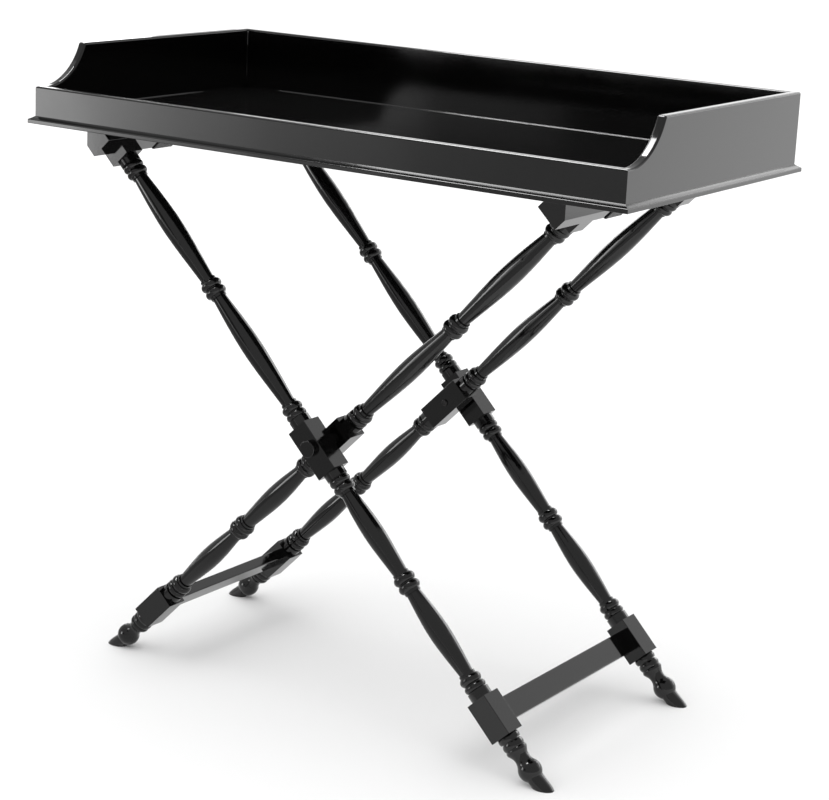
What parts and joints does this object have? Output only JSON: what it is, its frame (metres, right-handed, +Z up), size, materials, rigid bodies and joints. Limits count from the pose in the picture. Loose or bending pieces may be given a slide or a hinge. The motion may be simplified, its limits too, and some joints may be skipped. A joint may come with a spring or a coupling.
{
  "type": "folding tray table",
  "caption": "Galleried serving tray with a low front lip and scooped ends, standing on crossed turned-leg frames that fold on a pivot and end in hoof feet.",
  "frame": {"origin": "on the floor under the middle of the tray", "axes": "+X along the tray towards its right end, +Y from the low lip to the back, +Z up"},
  "size_m": [1, 0.516, 0.931],
  "materials": {
    "lacquered_board": "black lacquer, semi-gloss",
    "lacquered_turning": "black lacquer, semi-gloss",
    "blackened_steel": "black, satin",
    "webbing": "black woven webbing, matt"
  },
  "bodies": {
    "outer_frame": {"outer_top_rail": "lacquered_turning", "outer_stretcher": "lacquered_turning", "outer_leg_front": "lacquered_turning", "outer_leg_back": "lacquered_turning", "outer_hoof_front": "lacquered_turning", "outer_hoof_back": "lacquered_turning", "pivot_cap_front": "lacquered_turning", "pivot_cap_back": "lacquered_turning", "pivot_spacer_front": "lacquered_turning", "pivot_spacer_back": "lacquered_turning", "strap_front": "webbing", "strap_back": "webbing"},
    "inner_frame": {"inner_top_rail": "lacquered_turning", "inner_stretcher": "lacquered_turning", "inner_leg_front": "lacquered_turning", "inner_leg_back": "lacquered_turning", "inner_hoof_front": "lacquered_turning", "inner_hoof_back": "lacquered_turning", "pivot_bolt_front": "blackened_steel", "pivot_bolt_back": "blackened_steel", "sleeve_nut_front": "blackened_steel", "sleeve_nut_back": "blackened_steel"},
    "tray": {"tray_floor": "lacquered_board", "lip_board": "lacquered_board", "back_board": "lacquered_board", "left_end_board": "lacquered_board", "right_end_board": "lacquered_board", "base_moulding_front": "lacquered_board", "base_moulding_back": "lacquered_board", "base_moulding_left": "lacquered_board", "base_moulding_right": "lacquered_board"}
  },
  "joints": [
    {"name": "stand_fold", "type": "hinge", "parent": "outer_frame", "child": "inner_frame", "pos_m": [0, 0, 0.41028], "axis": [0, -1, 0], "range_deg": [0, 83.5], "deforming": ["strap_front", "strap_back"]},
    {"name": "tray_lift", "type": "slide", "parent": "outer_frame", "child": "tray", "axis": [0, 0, 1], "range_m": [0, 0.62]}
  ],
  "couplings": [
    {"joint": "tray_lift", "follows": "stand_fold", "m_per_rad": 0.425}
  ]
}
